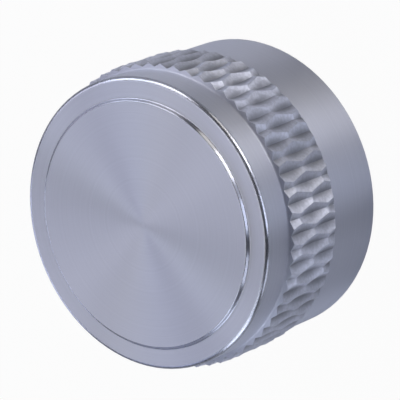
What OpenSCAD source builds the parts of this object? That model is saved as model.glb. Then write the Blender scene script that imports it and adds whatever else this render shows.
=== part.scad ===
// Mechanical brake knob of a bait-casting reel: a turned aluminium cap, knurled
// to be turned by thumb, that screws over the end of the spool's shaft.
// It stands on its open mouth. The axis is +Z, and the front disc faces up.

/* [Skirt] */
// Outside diameter of the smooth skirt at the mouth
skirt_d = 17; // [15:0.1:20]
// Height of the skirt, from the mouth to the knurl
skirt_h = 4; // [3.2:0.1:6]
// Bevel on the mouth's outer edge
skirt_bevel = 0.15; // [0.05:0.05:0.3]

/* [Knurl] */
// Rise of the band over the skirt before it is knurled
knurl_rise = 0.27; // [0.24:0.01:0.4]
// Height of the knurled band along the axis
knurl_h = 4.2; // [3.2:0.1:6]
// Rows of scoops around the band
knurl_rows = 62; // [48:2:64]
// Depth of a scoop under the plain band
knurl_depth = 0.3; // [0.2:0.02:0.34]
// Distance from scoop to scoop along a row
knurl_pitch = 2.6; // [2:0.1:3.2]
// Height of the middle of an even row's scoop over the middle of the band
knurl_shift = 1.35; // [0:0.05:2]
// Diameter of the wheel that cuts a scoop
wheel_d = 10.6; // [8:0.1:14]
// Angle of the wheel's edge
wheel_angle = 130; // [110:1:134]

/* [Rim] */
// Step from the skirt's radius down to the smooth rim in front of the knurl
rim_step = 0.16; // [0.14:0.02:0.4]
// Height of the rim, from the knurl to the ring face
rim_h = 1.95; // [1.5:0.01:3]
// Rounding of the rim's front edge
rim_round = 0.24; // [0.05:0.01:0.4]
// Hollow rounding between the rim and the front end of the knurl
rim_hollow = 0.1; // [0.02:0.01:0.12]

/* [Front disc] */
// Width of the ring face around the raised disc, to the middle of the disc's edge
ring_w = 1.26; // [0.8:0.02:3]
// Rise of the disc over the ring face
disc_rise = 0.16; // [0.12:0.01:0.4]
// Slope of the disc's edge
disc_slope = 55; // [30:1:70]
// Rounding at the top and at the foot of that edge
disc_round = 0.06; // [0.03:0.01:0.1]

/* [Bore] */
// Wall of the skirt outside the internal thread
wall_t = 1.5; // [1.3:0.05:2]
// Length of the thread
thread_h = 4.2; // [3.6:0.1:4.8]
// Room between the thread's major radius and the plain mouth
entry_room = 0.3; // [0.1:0.05:0.4]
// Height of the plain mouth, up to the ring's groove
entry_h = 0.9; // [0.6:0.05:1.2]
// Bevel at the mouth and at the start of the thread
entry_bevel = 0.3; // [0.1:0.05:0.3]
// Room between the thread's major radius and the relief behind it
relief_room = 0.2; // [0.1:0.05:0.4]
// Height of the relief
relief_h = 0.8; // [0.5:0.05:1]

/* [Friction ring] */
// Thickness of the rubber ring
ring_cord_d = 0.85; // [0.75:0.05:1]
// Depth of the ring's groove under the plain mouth
ring_groove_depth = 0.65; // [0.5:0.05:0.7]
// Room between the ring and the groove's walls, to each side
ring_room = 0.12; // [0.05:0.01:0.2]
// Room between the ring and the groove's floor
ring_seat = 0.02; // [0.01:0.01:0.05]

/* [Brake discs] */
// Diameter of the recess for the brake discs
recess_d = 8; // [6:0.1:10]
// Thickness of the plastic brake pad, which the shaft's end rubs on
pad_t = 0.9; // [0.6:0.05:1.2]
// Thickness of the bronze shim behind the pad
shim_t = 0.25; // [0.1:0.05:0.4]
// Depth of the pad's face under the cap's floor
pad_sink = 0.1; // [0.05:0.05:0.3]
// Room around the discs in their recess
recess_room = 0.04; // [0.02:0.01:0.1]

/* [Hidden] */
$fn = 128;

// Segments of an edge rounding
round_steps = 10;
// Length by which a cutter passes the surface that it cuts
over = 0.1;

// Heights of the outside, from the mouth up
band_z = skirt_h;
rim_z = band_z + knurl_h;
ring_face_z = rim_z + rim_h;
disc_face_z = ring_face_z + disc_rise;

// Radii of the outside
skirt_r = skirt_d / 2;
knurl_r = skirt_r + knurl_rise;
rim_r = skirt_r - rim_step;
disc_r = rim_r - ring_w;

// Radii inside the cap
thread_r = skirt_r - wall_t;
entry_r = thread_r + entry_room;
groove_r = entry_r + ring_groove_depth;
relief_r = thread_r + relief_room;
recess_r = recess_d / 2;

// Heights inside the cap, from the mouth up
groove_z = entry_h;
groove_top_z = groove_z + ring_cord_d + 2 * ring_room;
thread_z = groove_top_z + entry_bevel;
relief_z = thread_z + thread_h;
floor_z = relief_z + relief_h;
pad_z = floor_z + pad_sink;
shim_z = pad_z + pad_t;
recess_z = shim_z + shim_t;

// The knurl: angle from row to row, middle of an even row's scoop, floor of a scoop, and
// the heights at which the scoops end, just over the slope's foot and past the front
row_angle = 360 / knurl_rows;
pattern_z = band_z + knurl_h / 2 + knurl_shift;
scoop_r = knurl_r - knurl_depth;
scoops_z = band_z + 0.01;
scoops_top_z = rim_z + over;

// The cutting wheel: radius, height and half width of its edge, half the width that
// a row's cut is kept to, clear of the next row but one, and the angle to each side
// over which the wheel passes the middle between two scoops
wheel_r = wheel_d / 2;
edge_h = knurl_depth + 2 * over;
edge_w = edge_h * tan(wheel_angle / 2);
row_w = 0.96 * scoop_r * tan(row_angle);
wheel_sweep = asin((knurl_pitch / 2 + over) / (wheel_r - edge_h));

// Points of a round stretch about [cx, cy], from angle a to angle b
function arc(cx, cy, r, a, b) =
    [for (i = [0:round_steps]) let (t = a + (b - a) * i / round_steps) [cx + r * cos(t), cy + r * sin(t)]];

// Half the width of the disc's sloped edge, with its two roundings
function disc_edge_half() =
    (disc_rise - 2 * disc_round * (1 - cos(disc_slope))) / tan(disc_slope) / 2 + disc_round * sin(disc_slope);

// Outside of the cap as it is turned: skirt, band with a sloped rear edge, rim, ring face and raised disc
module blank() {
    half = disc_edge_half();
    rotate_extrude()
        polygon(concat(
            [
                [0, 0],
                [skirt_r - skirt_bevel, 0],
                [skirt_r, skirt_bevel],
                [skirt_r, band_z],
                [knurl_r, band_z + knurl_rise],
                [knurl_r, rim_z]
            ],
            arc(rim_r + rim_hollow, rim_z + rim_hollow, rim_hollow, 270, 180),
            arc(rim_r - rim_round, ring_face_z - rim_round, rim_round, 0, 90),
            arc(disc_r + half, ring_face_z + disc_round, disc_round, 270, 270 - disc_slope),
            arc(disc_r - half, disc_face_z - disc_round, disc_round, 90 - disc_slope, 90),
            [[0, disc_face_z]]
        ));
}

// One boat-shaped scoop at height z, as a wheel with a sharp edge cuts it, up to its neighbours in the row
module scoop(z) {
    low = max(z - knurl_pitch / 2, scoops_z);
    high = min(z + knurl_pitch / 2, scoops_top_z);
    intersection() {
        translate([scoop_r + wheel_r, 0, z])
            rotate([90, 0, 0])
                rotate([0, 0, 180 - wheel_sweep])
                    rotate_extrude(angle = 2 * wheel_sweep)
                        polygon([[wheel_r, 0], [wheel_r - edge_h, edge_w], [wheel_r - edge_h, -edge_w]]);
        translate([scoop_r - over, -row_w, low])
            cube([4 * edge_h, 2 * row_w, high - low]);
    }
}

// Scoops of one row, counted from the -Y side: those of an odd row sit half a scoop up from those of an even one
module scoop_row(row) {
    reach = ceil(knurl_h / knurl_pitch);
    rotate([0, 0, row * row_angle - 90])
        for (i = [-reach:reach]) {
            z = pattern_z + (i + (row % 2) / 2) * knurl_pitch;
            if (z > scoops_z + over - knurl_pitch / 2 && z < rim_z - over + knurl_pitch / 2)
                scoop(z);
        }
}

// Every second row, from the first one given
module scoop_rows(first) {
    for (row = [first:2:knurl_rows - 1])
        scoop_row(row);
}

// The blank with its band knurled, first the even rows and then the odd ones
module knurled_blank() {
    difference() {
        difference() {
            blank();
            scoop_rows(0);
        }
        scoop_rows(1);
    }
}

// Inside of the cap: mouth, ring groove, thread, relief and recess
module bore() {
    rotate_extrude()
        polygon([
            [0, -over],
            [entry_r + entry_bevel + over, -over],
            [entry_r, entry_bevel],
            [entry_r, groove_z],
            [groove_r, groove_z],
            [groove_r, groove_top_z],
            [thread_r + entry_bevel, groove_top_z],
            [thread_r, thread_z],
            [thread_r, relief_z],
            [relief_r, relief_z + relief_room],
            [relief_r, floor_z],
            [recess_r, floor_z],
            [recess_r, recess_z],
            [0, recess_z]
        ]);
}

// The cap itself, turned and knurled from one bar
module knob_body() {
    color([0.62, 0.63, 0.70])
        difference() {
            knurled_blank();
            bore();
        }
}

// Rubber ring that drags on the boss and keeps the knob's setting
module friction_ring() {
    color([0.08, 0.08, 0.09])
        rotate_extrude()
            translate([groove_r - ring_seat - ring_cord_d / 2, groove_z + ring_room + ring_cord_d / 2])
                circle(d = ring_cord_d, $fn = 48);
}

// A disc that fills the recess, from height z
module recess_disc(z, t) {
    translate([0, 0, z])
        cylinder(r = recess_r - recess_room, h = t);
}

// Plastic pad that the end of the spool's shaft rubs on
module brake_pad() {
    color([0.90, 0.88, 0.82]) recess_disc(pad_z, pad_t);
}

// Bronze shim between the pad and the cap
module brake_shim() {
    color([0.72, 0.47, 0.30]) recess_disc(shim_z, shim_t);
}

knob_body();
friction_ring();
brake_pad();
brake_shim();
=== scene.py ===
"""Looks of a reel's brake knob: turned aluminium, its internal thread and a small studio.

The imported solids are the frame. This script gives them their finishes, adds the helical
ridge of the internal thread, and sets a pale floor, soft light and the photo's camera.
Lengths are in metres and angles in degrees, unless a name says otherwise.
"""

import logging
import math
from dataclasses import dataclass
from enum import Enum
from typing import Any

import bmesh
import bpy
from mathutils import Matrix, Vector


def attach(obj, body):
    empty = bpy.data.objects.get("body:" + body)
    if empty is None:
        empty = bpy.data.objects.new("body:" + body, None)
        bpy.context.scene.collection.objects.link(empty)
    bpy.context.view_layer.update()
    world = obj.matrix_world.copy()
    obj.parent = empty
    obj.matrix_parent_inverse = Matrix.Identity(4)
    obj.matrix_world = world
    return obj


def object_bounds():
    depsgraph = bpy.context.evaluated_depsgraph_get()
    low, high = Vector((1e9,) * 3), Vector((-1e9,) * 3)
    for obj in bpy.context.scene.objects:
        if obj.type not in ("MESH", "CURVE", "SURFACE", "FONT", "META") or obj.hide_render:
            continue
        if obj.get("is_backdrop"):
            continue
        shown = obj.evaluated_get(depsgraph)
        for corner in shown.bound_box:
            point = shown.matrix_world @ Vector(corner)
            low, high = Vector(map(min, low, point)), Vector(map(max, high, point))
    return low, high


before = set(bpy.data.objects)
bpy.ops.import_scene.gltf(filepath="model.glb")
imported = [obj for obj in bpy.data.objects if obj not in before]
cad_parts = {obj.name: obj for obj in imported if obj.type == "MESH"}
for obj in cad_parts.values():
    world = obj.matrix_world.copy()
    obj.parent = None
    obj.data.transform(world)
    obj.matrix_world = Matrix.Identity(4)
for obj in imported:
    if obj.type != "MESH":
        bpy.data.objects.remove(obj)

log = logging.getLogger("brake_knob")

BODY = "root"
MM = 0.001
NOISE_MIDDLE = 0.5

Socket = bpy.types.NodeSocket
Point = tuple[float, float, float]
Colour = tuple[float, float, float]

BLACK: Colour = (0.0, 0.0, 0.0)
WHITE: Colour = (1.0, 1.0, 1.0)


class Node(Enum):
    """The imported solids, by the name of their node."""

    KNOB = "knob_body"
    RING = "friction_ring"
    PAD = "brake_pad"
    SHIM = "brake_shim"


class Slot(Enum):
    """The record's material slots."""

    ALUMINIUM = "aluminium"
    RUBBER = "rubber"
    PAD_PLASTIC = "pad_plastic"
    BRONZE = "bronze"


@dataclass(frozen=True)
class Cap:
    """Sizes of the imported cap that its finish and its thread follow."""

    skirt_radius: float = 8.5 * MM
    skirt_height: float = 4.0 * MM
    wall: float = 1.5 * MM
    knurl_rise: float = 0.27 * MM
    knurl_height: float = 4.2 * MM
    rim_step: float = 0.16 * MM
    rim_height: float = 1.95 * MM
    rim_round: float = 0.24 * MM
    ring_width: float = 1.26 * MM

    @property
    def rim_foot(self) -> float:
        """Height at which the knurl ends and the rim begins."""
        return self.skirt_height + self.knurl_height

    @property
    def ring_face(self) -> float:
        """Height of the ring face around the front disc."""
        return self.rim_foot + self.rim_height

    @property
    def bore_radius(self) -> float:
        """Radius of the wall that carries the thread."""
        return self.skirt_radius - self.wall

    @property
    def knurl_radius(self) -> float:
        """Radius of the band before it is knurled."""
        return self.skirt_radius + self.knurl_rise

    @property
    def rim_radius(self) -> float:
        """Radius of the smooth rim."""
        return self.skirt_radius - self.rim_step

    @property
    def disc_radius(self) -> float:
        """Radius of the front disc, to the middle of its edge."""
        return self.rim_radius - self.ring_width


CAP = Cap()


class Graph:
    """Short calls that add and link the nodes of one tree."""

    def __init__(self, tree: bpy.types.NodeTree) -> None:
        """Keeps the tree that the calls work on."""
        self.tree = tree

    def add(self, kind: str, **settings: Any) -> bpy.types.Node:
        """Adds one node.

        Args:
            kind: Blender's name of the node's type.
            settings: Properties to set on the node, by name.

        Returns:
            The new node.
        """
        node = self.tree.nodes.new(kind)
        for name, value in settings.items():
            setattr(node, name, value)
        return node

    def feed(self, target: Socket, value: Any) -> None:
        """Links a socket to the target, or sets a plain value on it.

        Args:
            target: Input that is fed.
            value: Socket to link, or the value to set.
        """
        if isinstance(value, Socket):
            self.tree.links.new(value, target)
        else:
            target.default_value = value

    def math(self, operation: str, *values: Any) -> Socket:
        """Works on numbers or sockets with one Math node.

        Args:
            operation: The Math node's operation.
            values: What goes into its inputs, in order.

        Returns:
            The result's socket.
        """
        node = self.add("ShaderNodeMath", operation=operation)
        for socket, value in zip(node.inputs, values):
            self.feed(socket, value)
        return node.outputs[0]

    def span(self, value: Any, low: float, high: float, to_low: float = 0.0, to_high: float = 1.0) -> Socket:
        """Maps a value smoothly from one span to another and holds it at the ends.

        Args:
            value: Number or socket to map.
            low: Start of the span.
            high: End of the span.
            to_low: Result at the start.
            to_high: Result at the end.

        Returns:
            The mapped value's socket.
        """
        node = self.add("ShaderNodeMapRange", interpolation_type="SMOOTHSTEP")
        for socket, given in zip(node.inputs, (value, low, high, to_low, to_high)):
            self.feed(socket, given)
        return node.outputs["Result"]

    def contrast(self, noise: Socket, half: float, to_low: float = 0.0, to_high: float = 1.0) -> Socket:
        """Stretches the middle of a noise over a whole span.

        Args:
            noise: Noise from 0 to 1, most of it near the middle.
            half: How far the stretched part reaches to each side of the middle.
            to_low: Result at the low end.
            to_high: Result at the high end.

        Returns:
            The stretched noise's socket.
        """
        return self.span(noise, NOISE_MIDDLE - half, NOISE_MIDDLE + half, to_low, to_high)

    def blend(self, factor: Any, first: Any, second: Any) -> Socket:
        """Mixes two numbers.

        Args:
            factor: Share of the second number.
            first: Number or socket at a factor of 0.
            second: Number or socket at a factor of 1.

        Returns:
            The mixed number's socket.
        """
        node = self.add("ShaderNodeMix", data_type="FLOAT")
        self.feed(node.inputs[0], factor)
        self.feed(node.inputs["A"], first)
        self.feed(node.inputs["B"], second)
        return node.outputs["Result"]

    def tint(self, factor: Any, first: Colour, second: Colour) -> Socket:
        """Mixes two colours.

        Args:
            factor: Share of the second colour.
            first: Colour at a factor of 0.
            second: Colour at a factor of 1.

        Returns:
            The mixed colour's socket.
        """
        node = self.add("ShaderNodeMix", data_type="RGBA")
        colours = [socket for socket in node.inputs if socket.type == "RGBA"]
        self.feed(node.inputs[0], factor)
        self.feed(colours[0], (*first, 1.0))
        self.feed(colours[1], (*second, 1.0))
        return next(socket for socket in node.outputs if socket.type == "RGBA")

    def axis_place(self) -> tuple[Socket, Socket]:
        """Finds a point's place about the knob's axis, from Object coordinates.

        Returns:
            Sockets of the radius about the axis and of the height over the mouth.
        """
        place = self.add("ShaderNodeTexCoord").outputs["Object"]
        split = self.add("ShaderNodeSeparateXYZ")
        self.feed(split.inputs[0], place)
        across, deep = (self.math("POWER", split.outputs[axis], 2.0) for axis in ("X", "Y"))
        return self.math("SQRT", self.math("ADD", across, deep)), split.outputs["Z"]


class Effect:
    """A shader node group that several finishes share, with one value as its output."""

    name: str = "effect"

    def group(self) -> bpy.types.NodeTree:
        """Gives the group, built on the first call.

        Returns:
            The group's tree.
        """
        tree = bpy.data.node_groups.get(self.name)
        if tree is None:
            tree = bpy.data.node_groups.new(self.name, "ShaderNodeTree")
            self.build(tree)
        return tree

    def build(self, tree: bpy.types.NodeTree) -> None:
        """Fills the empty group."""
        raise NotImplementedError

    def place(self, graph: Graph, **values: float) -> Socket:
        """Places the group in a material.

        Args:
            graph: The material's nodes.
            values: Values of the group's inputs, by name, with _ for a space.

        Returns:
            The group's output.
        """
        node = graph.add("ShaderNodeGroup", node_tree=self.group())
        for name, value in values.items():
            graph.feed(node.inputs[name.replace("_", " ").capitalize()], value)
        return node.outputs[0]


class TurningMarks(Effect):
    """Fine rings that a lathe tool leaves about the axis, on faces, walls and cones alike."""

    name: str = "turning_marks"
    detail: float = 2.0
    roughness: float = 0.7

    def build(self, tree: bpy.types.NodeTree) -> None:
        """Makes noise along the turned profile, as coarse and fine rings.

        Args:
            tree: The empty group.
        """
        tree.interface.new_socket("Lines per mm", in_out="INPUT", socket_type="NodeSocketFloat")
        tree.interface.new_socket("Marks", in_out="OUTPUT", socket_type="NodeSocketFloat")
        graph = Graph(tree)
        given = graph.add("NodeGroupInput")
        radius, height = graph.axis_place()
        along = graph.math("DIVIDE", graph.math("ADD", radius, height), MM)
        noise = graph.add("ShaderNodeTexNoise", noise_dimensions="1D")
        graph.feed(noise.inputs["W"], along)
        graph.feed(noise.inputs["Scale"], given.outputs["Lines per mm"])
        graph.feed(noise.inputs["Detail"], self.detail)
        graph.feed(noise.inputs["Roughness"], self.roughness)
        out = graph.add("NodeGroupOutput")
        graph.feed(out.inputs["Marks"], noise.outputs[0])


class Mottle(Effect):
    """Soft uneven patches, as handling and oil leave on a surface, or a grain where they are small."""

    name: str = "mottle"
    detail: float = 3.0

    def build(self, tree: bpy.types.NodeTree) -> None:
        """Makes three-dimensional noise of a given patch size.

        Args:
            tree: The empty group.
        """
        tree.interface.new_socket("Patches per mm", in_out="INPUT", socket_type="NodeSocketFloat")
        tree.interface.new_socket("Patches", in_out="OUTPUT", socket_type="NodeSocketFloat")
        graph = Graph(tree)
        given = graph.add("NodeGroupInput")
        place = graph.add("ShaderNodeTexCoord").outputs["Object"]
        noise = graph.add("ShaderNodeTexNoise", noise_dimensions="3D")
        graph.feed(noise.inputs["Vector"], place)
        graph.feed(noise.inputs["Scale"], graph.math("DIVIDE", given.outputs["Patches per mm"], MM))
        graph.feed(noise.inputs["Detail"], self.detail)
        out = graph.add("NodeGroupOutput")
        graph.feed(out.inputs["Patches"], noise.outputs[0])


TURNING = TurningMarks()
MOTTLE = Mottle()


@dataclass(frozen=True)
class Finish:
    """What every finish has: a name, the record's slot and a colour."""

    name: str
    slot: Slot
    colour: Colour

    def start(self) -> tuple[bpy.types.Material, Graph, bpy.types.Node]:
        """Begins the material.

        Returns:
            The material, its nodes and its Principled shader, with the shader linked to the output.
        """
        material = bpy.data.materials.new(self.name)
        material.use_nodes = True
        material.node_tree.nodes.clear()
        graph = Graph(material.node_tree)
        shader = graph.add("ShaderNodeBsdfPrincipled")
        output = graph.add("ShaderNodeOutputMaterial")
        graph.feed(output.inputs["Surface"], shader.outputs["BSDF"])
        return material, graph, shader

    def shade(self, tone: float) -> Colour:
        """Gives the finish's colour, made darker or lighter by a factor."""
        return tuple(part * tone for part in self.colour)

    def bump(self, graph: Graph, shader: bpy.types.Node, height: Socket, depth: float) -> None:
        """Raises the surface by a height map.

        Args:
            graph: The material's nodes.
            shader: The shader whose normal is bent.
            height: Height map.
            depth: Real depth of a height of 1.
        """
        bump = graph.add("ShaderNodeBump")
        graph.feed(bump.inputs["Strength"], 1.0)
        graph.feed(bump.inputs["Distance"], depth)
        graph.feed(bump.inputs["Height"], height)
        graph.feed(shader.inputs["Normal"], bump.outputs["Normal"])

    def material(self) -> bpy.types.Material:
        """Makes the finish's material."""
        raise NotImplementedError


@dataclass(frozen=True)
class TurnedAluminium(Finish):
    """Bare aluminium from the lathe: rings of tool marks, burnished edges and a cut knurl.

    The anisotropy lies across the tool marks, so that faces show a bow-tie of light and
    walls show streaks along the axis. The knurl's colour has painted shade in its scoops
    and a painted highlight on the crests between them.
    """

    # Roughness of each surface, and its anisotropy
    face_roughness: float = 0.42
    wall_roughness: float = 0.52
    knurl_roughness: float = 0.43
    edge_roughness: float = 0.27
    anisotropy: float = 0.82
    across_marks: float = 0.25
    # Tool marks on faces and walls
    lines_per_mm: float = 7.0
    mark_depth: float = 2e-6
    ring_contrast: float = 0.3
    ring_share: float = 0.024
    # Patches of handling, which break up the rings and smear the gloss
    patches_per_mm: float = 0.8
    patch_contrast: float = 0.2
    patch_share: float = 0.15
    smear_share: float = 0.015
    # Grain of the knurl, its height in depths of a tool mark, and its flecks
    grains_per_mm: float = 6.0
    grain_contrast: float = 0.15
    grain_height: float = 6.0
    fleck_share: float = 0.06
    fleck_gloss: float = 0.15
    # Painted shade at the floors of the scoops and painted highlight at their crests, their depths under the
    # plain band, and the top tone
    scoop_painted_shade: float = 0.55
    floor_depth: float = 0.31 * MM
    crest_painted_highlight: float = 1.24
    crest_depth: float = 0.05 * MM
    top_tone: float = 1.3
    # Reach of the burnished edges, and widths over which one surface passes into the next
    edge_reach: float = 0.27 * MM
    disc_edge_half: float = 0.09 * MM
    soft_edge: float = 0.1 * MM
    crisp_edge: float = 0.04 * MM

    def knurl_mask(self, graph: Graph, radius: Socket, height: Socket) -> Socket:
        """Marks the knurled band on the outside of the cap.

        Args:
            graph: The material's nodes.
            radius: Radius about the axis.
            height: Height over the mouth.

        Returns:
            A socket that is 1 on the band and 0 elsewhere.
        """
        mid_wall = CAP.bore_radius + CAP.wall / 2
        over_skirt = graph.span(height, CAP.skirt_height, CAP.skirt_height + self.soft_edge)
        under_rim = graph.span(height, CAP.rim_foot - self.soft_edge, CAP.rim_foot, 1.0, 0.0)
        outside = graph.span(radius, mid_wall, mid_wall + self.soft_edge)
        return graph.math("MULTIPLY", graph.math("MULTIPLY", over_skirt, under_rim), outside)

    def edge_mask(self, graph: Graph, radius: Socket, height: Socket) -> Socket:
        """Marks the rounded edge of the rim and the edge of the front disc.

        Args:
            graph: The material's nodes.
            radius: Radius about the axis.
            height: Height over the mouth.

        Returns:
            A socket that is 1 on the edges and 0 elsewhere.
        """
        edge_low = CAP.ring_face - self.edge_reach
        rim_edge = CAP.rim_radius - CAP.rim_round
        disc_edge_end = self.disc_edge_half + self.crisp_edge
        at_front = graph.span(height, edge_low, edge_low + self.crisp_edge)
        on_rim = graph.span(radius, rim_edge, rim_edge + self.crisp_edge)
        from_disc = graph.math("ABSOLUTE", graph.math("SUBTRACT", radius, CAP.disc_radius))
        on_disc = graph.span(from_disc, self.disc_edge_half, disc_edge_end, 1.0, 0.0)
        return graph.math("MULTIPLY", at_front, graph.math("MAXIMUM", on_rim, on_disc))

    def material(self) -> bpy.types.Material:
        """Makes the metal, with its tone, gloss and relief on faces, walls, edges and knurl, and painted
        shade and highlight on the knurl's scoops and crests.

        Returns:
            The material.
        """
        material, graph, shader = self.start()
        radius, height = graph.axis_place()
        knurl = self.knurl_mask(graph, radius, height)
        edges = self.edge_mask(graph, radius, height)
        face = graph.span(height, CAP.ring_face - self.soft_edge, CAP.ring_face)
        marks = TURNING.place(graph, lines_per_mm=self.lines_per_mm)
        grain = MOTTLE.place(graph, patches_per_mm=self.grains_per_mm)
        patches = MOTTLE.place(graph, patches_per_mm=self.patches_per_mm)
        flecks = graph.contrast(grain, self.grain_contrast)

        # Tone: rings on what is turned, and on the knurl flecks over painted shade in the scoops and a
        # painted highlight on the crests
        rings = graph.blend(self.patch_share, marks, patches)
        ringed = graph.contrast(rings, self.ring_contrast, *around_one(self.ring_share))
        flecked = graph.span(flecks, 0.0, 1.0, *around_one(self.fleck_share))
        scoop_floor = CAP.knurl_radius - self.floor_depth
        scoop_crest = CAP.knurl_radius - self.crest_depth
        # Painted shade darkens the scoops and a painted highlight brightens the crests, by radius alone
        painted_shade_and_highlight = graph.span(radius, scoop_floor, scoop_crest, self.scoop_painted_shade, self.crest_painted_highlight)
        tone = graph.blend(knurl, ringed, graph.math("MULTIPLY", painted_shade_and_highlight, flecked))
        share = graph.math("DIVIDE", tone, self.top_tone)
        graph.feed(shader.inputs["Base Color"], graph.tint(share, BLACK, self.shade(self.top_tone)))
        graph.feed(shader.inputs["Metallic"], 1.0)

        # Gloss: each surface's own, smeared by handling or flecked by the cut
        plain = graph.blend(face, self.wall_roughness, self.face_roughness)
        burnished = graph.blend(edges, plain, self.edge_roughness)
        worn = graph.blend(knurl, burnished, self.knurl_roughness)
        smears = graph.contrast(patches, self.patch_contrast, *around_one(self.smear_share))
        cut = graph.span(flecks, 0.0, 1.0, *around_one(self.fleck_gloss))
        uneven = graph.math("MULTIPLY", worn, graph.blend(knurl, smears, cut))
        graph.feed(shader.inputs["Roughness"], uneven)
        graph.feed(shader.inputs["Anisotropic"], self.anisotropy)
        graph.feed(shader.inputs["Anisotropic Rotation"], self.across_marks)
        tangent = graph.add("ShaderNodeTangent", direction_type="RADIAL", axis="Z")
        graph.feed(shader.inputs["Tangent"], tangent.outputs["Tangent"])

        # Relief: tool marks or the knurl's grain, and none on the burnished edges
        scratched = graph.math("MULTIPLY", grain, self.grain_height)
        relief = graph.blend(edges, graph.blend(knurl, marks, scratched), NOISE_MIDDLE)
        self.bump(graph, shader, relief, self.mark_depth)
        return material


@dataclass(frozen=True)
class Rubber(Finish):
    """Black nitrile rubber with a faint bloom."""

    roughness: float = 0.5
    uneven: float = 0.08
    dark_tone: float = 0.75
    bloom_tone: float = 1.3
    patches_per_mm: float = 2.0
    patch_contrast: float = 0.2
    grains_per_mm: float = 12.0
    grain_depth: float = 2e-6

    def material(self) -> bpy.types.Material:
        """Makes the rubber, a little uneven in tone and gloss.

        Returns:
            The material.
        """
        material, graph, shader = self.start()
        patches = MOTTLE.place(graph, patches_per_mm=self.patches_per_mm)
        grain = MOTTLE.place(graph, patches_per_mm=self.grains_per_mm)
        colour = graph.tint(patches, self.shade(self.dark_tone), self.shade(self.bloom_tone))
        shiny, dull = self.roughness - self.uneven, self.roughness + self.uneven
        graph.feed(shader.inputs["Base Color"], colour)
        graph.feed(shader.inputs["Roughness"], graph.contrast(patches, self.patch_contrast, shiny, dull))
        self.bump(graph, shader, grain, self.grain_depth)
        return material


@dataclass(frozen=True)
class PadPlastic(Finish):
    """Ivory acetal, turned flat, with a spot at its middle that the shaft's end has polished."""

    roughness: float = 0.45
    spot_roughness: float = 0.2
    spot_radius: float = 1.3 * MM
    spot_edge: float = 0.3 * MM
    spot_tone: float = 0.8
    patches_per_mm: float = 1.0
    patch_contrast: float = 0.15
    patch_low: float = 0.7
    lines_per_mm: float = 5.0
    mark_depth: float = 2e-6

    def material(self) -> bpy.types.Material:
        """Makes the plastic, with turning marks outside the polished spot.

        Returns:
            The material.
        """
        material, graph, shader = self.start()
        radius, _ = graph.axis_place()
        plain = graph.span(radius, self.spot_radius, self.spot_radius + self.spot_edge)
        marks = TURNING.place(graph, lines_per_mm=self.lines_per_mm)
        patches = MOTTLE.place(graph, patches_per_mm=self.patches_per_mm)
        clean = graph.math("MULTIPLY", graph.contrast(patches, self.patch_contrast, self.patch_low), plain)
        graph.feed(shader.inputs["Base Color"], graph.tint(clean, self.shade(self.spot_tone), self.colour))
        graph.feed(shader.inputs["Roughness"], graph.blend(plain, self.spot_roughness, self.roughness))
        self.bump(graph, shader, graph.math("MULTIPLY", marks, plain), self.mark_depth)
        return material


@dataclass(frozen=True)
class Bronze(Finish):
    """Rolled bronze shim stock, a little tarnished."""

    roughness: float = 0.32
    tarnish_roughness: float = 0.47
    tarnish_tone: float = 0.6
    tarnish_start: float = 0.4
    tarnish_full: float = 0.75
    patches_per_mm: float = 0.9
    grains_per_mm: float = 15.0
    grain_depth: float = 1e-6

    def material(self) -> bpy.types.Material:
        """Makes the bronze, with patches of tarnish.

        Returns:
            The material.
        """
        material, graph, shader = self.start()
        patches = MOTTLE.place(graph, patches_per_mm=self.patches_per_mm)
        grain = MOTTLE.place(graph, patches_per_mm=self.grains_per_mm)
        tarnish = graph.span(patches, self.tarnish_start, self.tarnish_full)
        colour = graph.tint(tarnish, self.colour, self.shade(self.tarnish_tone))
        graph.feed(shader.inputs["Base Color"], colour)
        graph.feed(shader.inputs["Metallic"], 1.0)
        graph.feed(shader.inputs["Roughness"], graph.blend(tarnish, self.roughness, self.tarnish_roughness))
        self.bump(graph, shader, grain, self.grain_depth)
        return material


ALUMINIUM = TurnedAluminium("turned_aluminium", Slot.ALUMINIUM, (0.62, 0.63, 0.70))
NITRILE = Rubber("nitrile_rubber", Slot.RUBBER, (0.03, 0.03, 0.033))
ACETAL = PadPlastic("ivory_acetal", Slot.PAD_PLASTIC, (0.76, 0.72, 0.62))
SHIM_STOCK = Bronze("bronze_shim_stock", Slot.BRONZE, (0.55, 0.31, 0.14))


@dataclass
class Knob:
    """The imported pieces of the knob, each with its finish."""

    finishes: tuple[tuple[Node, Finish], ...] = (
        (Node.KNOB, ALUMINIUM),
        (Node.RING, NITRILE),
        (Node.PAD, ACETAL),
        (Node.SHIM, SHIM_STOCK),
    )

    def dress(self) -> bpy.types.Material:
        """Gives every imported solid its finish.

        Returns:
            The aluminium, for what else is cut from the same bar.
        """
        made: dict[Finish, bpy.types.Material] = {}
        for node, finish in self.finishes:
            made[finish] = finish.material()
            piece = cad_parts[node.value]
            for place in piece.material_slots:
                place.material = made[finish]
            log.info("%s: %s in the slot %s", node.value, finish.name, finish.slot.value)
        return made[ALUMINIUM]


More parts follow.
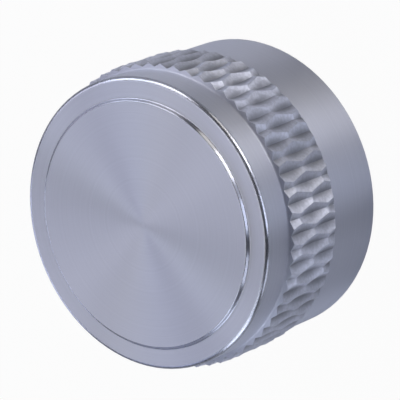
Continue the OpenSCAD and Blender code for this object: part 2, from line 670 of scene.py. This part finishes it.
@dataclass
class Thread:
    """The ridge of the internal thread, a right-handed helix on the bore's wall."""

    name: str = "thread_ridge"
    low: float = 2.45 * MM
    high: float = 6.35 * MM
    wall_radius: float = CAP.bore_radius
    pitch: float = 0.75 * MM
    depth: float = 0.4 * MM
    root_width: float = 0.66 * MM
    crest_width: float = 0.12 * MM
    sunk: float = 0.01 * MM
    steps_per_turn: int = 96
    fade_turns: float = 0.25

    def build(self) -> bpy.types.Object:
        """Sweeps the ridge's section up the bore and lets both ends run out into the wall.

        Returns:
            The ridge as an object.
        """
        turns = (self.high - self.low) / self.pitch
        steps = round(turns * self.steps_per_turn)
        foot = self.wall_radius + self.sunk
        crest = self.wall_radius - self.depth
        section = (
            (foot, -self.root_width / 2),
            (crest, -self.crest_width / 2),
            (crest, self.crest_width / 2),
            (foot, self.root_width / 2),
        )
        mesh = bmesh.new()
        corners = [mesh.verts.new((radius, 0.0, self.low + rise)) for radius, rise in section]
        start = mesh.faces.new(corners)
        bmesh.ops.spin(
            mesh,
            geom=[start, *start.edges, *start.verts],
            cent=(0.0, 0.0, 0.0),
            axis=(0.0, 0.0, 1.0),
            dvec=(0.0, 0.0, (self.high - self.low) / steps),
            angle=math.tau * turns,
            steps=steps,
        )
        bmesh.ops.recalc_face_normals(mesh, faces=mesh.faces)
        self.run_out(mesh, foot)
        data = bpy.data.meshes.new(self.name)
        mesh.to_mesh(data)
        mesh.free()
        return bpy.data.objects.new(self.name, data)

    def run_out(self, mesh: bmesh.types.BMesh, foot: float) -> None:
        """Sinks the ridge's crest into the wall over the first and last part of a turn.

        Args:
            mesh: The swept ridge.
            foot: Radius of the ridge's foot, just inside the wall.
        """
        fade = self.fade_turns * self.pitch
        for vert in mesh.verts:
            flat = Vector((vert.co.x, vert.co.y, 0.0))
            from_end = min(vert.co.z - self.low, self.high - vert.co.z)
            if flat.length < self.wall_radius and from_end < fade:
                share = max(from_end, 0.0) / fade
                radius = foot + (flat.length - foot) * share
                vert.co = flat.normalized() * radius + Vector((0.0, 0.0, vert.co.z))

    def dress(self, ridge: bpy.types.Object, metal: bpy.types.Material) -> None:
        """Puts the ridge in the scene, in the knob's own metal.

        Args:
            ridge: The ridge's object.
            metal: The knob's metal.
        """
        bpy.context.scene.collection.objects.link(ridge)
        ridge.data.materials.append(metal)
        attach(ridge, BODY)
        log.info("%s: %d faces", ridge.name, len(ridge.data.polygons))


@dataclass(frozen=True)
class SoftBox:
    """One square area lamp that faces the knob."""

    name: str
    azimuth: float
    elevation: float
    power: float
    colour: Colour
    distance: float = 0.5
    width: float = 0.2

    def light(self, target: Vector) -> None:
        """Hangs the lamp and turns it to the target.

        Args:
            target: Point that the lamp faces.
        """
        data = bpy.data.lights.new(self.name, "AREA")
        data.shape = "SQUARE"
        data.size = self.width
        data.energy = self.power
        data.color = self.colour
        lamp = bpy.data.objects.new(self.name, data)
        towards = sphere_direction(self.azimuth, self.elevation)
        lamp.location = target + towards * self.distance
        lamp.rotation_mode = "QUATERNION"
        lamp.rotation_quaternion = towards.to_track_quat("Z", "Y")
        bpy.context.scene.collection.objects.link(lamp)


@dataclass(frozen=True)
class PhotoCamera:
    """The photo's camera: a long lens that looks down on the knob, rolled well over."""

    aim: Point = (0.18 * MM, -0.05 * MM, 5.0 * MM)
    azimuth: float = 0.70
    elevation: float = 50.35
    roll: float = -110.92
    distance: float = 191.06 * MM
    lens_mm: float = 304.4
    sensor_mm: float = 36.0
    clip_ratio: float = 100.0

    def place(self) -> None:
        """Makes the camera and hands it to the scene."""
        data = bpy.data.cameras.new("photo_camera")
        data.lens = self.lens_mm
        data.sensor_width = self.sensor_mm
        data.clip_start = self.distance / self.clip_ratio
        data.clip_end = self.distance * self.clip_ratio
        camera = bpy.data.objects.new("photo_camera", data)
        back = sphere_direction(self.azimuth, self.elevation)
        upright = back.to_track_quat("Z", "Y").to_matrix().to_4x4()
        turned = upright @ Matrix.Rotation(math.radians(self.roll), 4, "Z")
        camera.matrix_world = Matrix.Translation(Vector(self.aim) + back * self.distance) @ turned
        bpy.context.scene.collection.objects.link(camera)
        bpy.context.scene.camera = camera


@dataclass
class Studio:
    """Floor, soft boxes, sky and camera around the knob."""

    floor_width: float = 6.0
    floor_colour: Colour = (0.5, 0.5, 0.5)
    floor_white: float = 0.96
    floor_mirrored: float = 0.08
    sky_level: float = 0.03
    sky_colour: Colour = (0.78, 0.84, 1.0)
    boxes: tuple[SoftBox, ...] = (
        SoftBox("front_right_low_box", 20.0, 6.0, 0.82, (0.96, 0.96, 1.0)),
        SoftBox("right_box", 90.0, 36.0, 0.52, (0.95, 0.95, 1.0)),
        SoftBox("back_left_box", 240.0, 52.0, 0.25, (0.83, 0.88, 1.0)),
        SoftBox("back_low_box", 180.0, 20.0, 0.26, (0.70, 0.75, 1.0)),
        SoftBox("back_high_box", 180.0, 66.0, 0.20, (0.95, 0.95, 1.0)),
        SoftBox("back_right_box", 150.0, 36.0, 0.19, (0.84, 0.84, 1.0)),
        SoftBox("right_rear_box", 120.0, 36.0, 0.42, (0.82, 0.87, 1.0)),
        SoftBox("front_left_low_box", 340.0, 6.0, 0.48, (0.77, 0.83, 1.0)),
        SoftBox("back_left_low_box", 210.0, 36.0, 0.12, (0.68, 0.75, 1.0)),
        SoftBox("top_box", 144.0, 66.0, 0.085, (0.88, 0.89, 1.0)),
        SoftBox("right_low_box", 40.0, 6.0, 0.26, (1.0, 0.95, 0.85)),
        SoftBox("front_low_box", 0.0, 6.0, 0.18, (0.86, 0.88, 1.0)),
        SoftBox("left_low_box", 300.0, 6.0, 0.24, (0.8, 0.85, 1.0)),
        SoftBox("left_box", 255.0, 26.0, 0.38, (0.78, 0.84, 1.0)),
    )

    def build(self) -> None:
        """Sets up the floor, the lamps, the sky and the camera."""
        self.lay_floor()
        self.fill_sky()
        low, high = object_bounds()
        for box in self.boxes:
            box.light((low + high) / 2)
        PhotoCamera().place()
        bpy.context.scene.view_settings.view_transform = "Standard"
        log.info("studio: %d soft boxes", len(self.boxes))

    def rays(self, graph: Graph) -> tuple[Socket, Socket]:
        """Tells how a surface is seen.

        Args:
            graph: Nodes of the floor's material or of the world.

        Returns:
            Sockets that are 1 for a ray of the camera, through glass or not, and for a mirrored ray.
        """
        path = graph.add("ShaderNodeLightPath")
        direct = graph.math("MAXIMUM", path.outputs["Is Camera Ray"], path.outputs["Is Transmission Ray"])
        return direct, path.outputs["Is Glossy Ray"]

    def lay_floor(self) -> None:
        """Lays a pale floor under the knob."""
        mesh = bmesh.new()
        bmesh.ops.create_grid(mesh, x_segments=1, y_segments=1, size=self.floor_width / 2)
        data = bpy.data.meshes.new("floor")
        mesh.to_mesh(data)
        mesh.free()
        data.materials.append(self.floor_material())
        floor = bpy.data.objects.new("floor", data)
        bpy.context.scene.collection.objects.link(floor)
        floor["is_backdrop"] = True

    def floor_material(self) -> bpy.types.Material:
        """Makes paper that keeps the knob's shadow, reads as white and glows faintly in the metal.

        Returns:
            The material.
        """
        material = bpy.data.materials.new("pale_floor")
        material.use_nodes = True
        material.node_tree.nodes.clear()
        graph = Graph(material.node_tree)
        paper = graph.add("ShaderNodeBsdfDiffuse")
        graph.feed(paper.inputs["Color"], (*self.floor_colour, 1.0))
        direct, mirrored = self.rays(graph)
        white = graph.add("ShaderNodeEmission")
        graph.feed(white.inputs["Color"], graph.tint(direct, self.sky_colour, WHITE))
        share = graph.math(
            "ADD",
            graph.math("MULTIPLY", direct, self.floor_white),
            graph.math("MULTIPLY", mirrored, self.floor_mirrored),
        )
        mix = graph.add("ShaderNodeMixShader")
        graph.feed(mix.inputs[0], share)
        graph.feed(mix.inputs[1], paper.outputs["BSDF"])
        graph.feed(mix.inputs[2], white.outputs["Emission"])
        output = graph.add("ShaderNodeOutputMaterial")
        graph.feed(output.inputs["Surface"], mix.outputs["Shader"])
        return material

    def fill_sky(self) -> None:
        """Fills the world with a dim, even blue-grey, which the camera sees as white."""
        world = bpy.data.worlds.new("sky")
        world.use_nodes = True
        world.node_tree.nodes.clear()
        graph = Graph(world.node_tree)
        direct, _ = self.rays(graph)
        level = tuple(part * self.sky_level for part in self.sky_colour)
        background = graph.add("ShaderNodeBackground")
        graph.feed(background.inputs["Color"], graph.tint(direct, level, WHITE))
        output = graph.add("ShaderNodeOutputWorld")
        graph.feed(output.inputs["Surface"], background.outputs["Background"])
        bpy.context.scene.world = world


def around_one(share: float) -> tuple[float, float]:
    """Gives the factors that lie a share below and a share above 1."""
    return 1.0 - share, 1.0 + share


def sphere_direction(azimuth: float, elevation: float) -> Vector:
    """Gives the unit vector from the knob at an azimuth and elevation.

    Args:
        azimuth: Degrees about the axis, 0 on the -Y side and 90 on the +X side.
        elevation: Degrees above the floor.

    Returns:
        The direction.
    """
    turn, rise = math.radians(azimuth), math.radians(elevation)
    return Vector((math.sin(turn) * math.cos(rise), -math.cos(turn) * math.cos(rise), math.sin(rise)))


def main() -> None:
    """Dresses the knob, adds its thread and sets the studio around it."""
    logging.basicConfig(level=logging.INFO, format="%(name)s: %(message)s")
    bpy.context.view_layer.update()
    metal = Knob().dress()
    thread = Thread()
    thread.dress(thread.build(), metal)
    Studio().build()


if __name__ == "__main__":
    main()
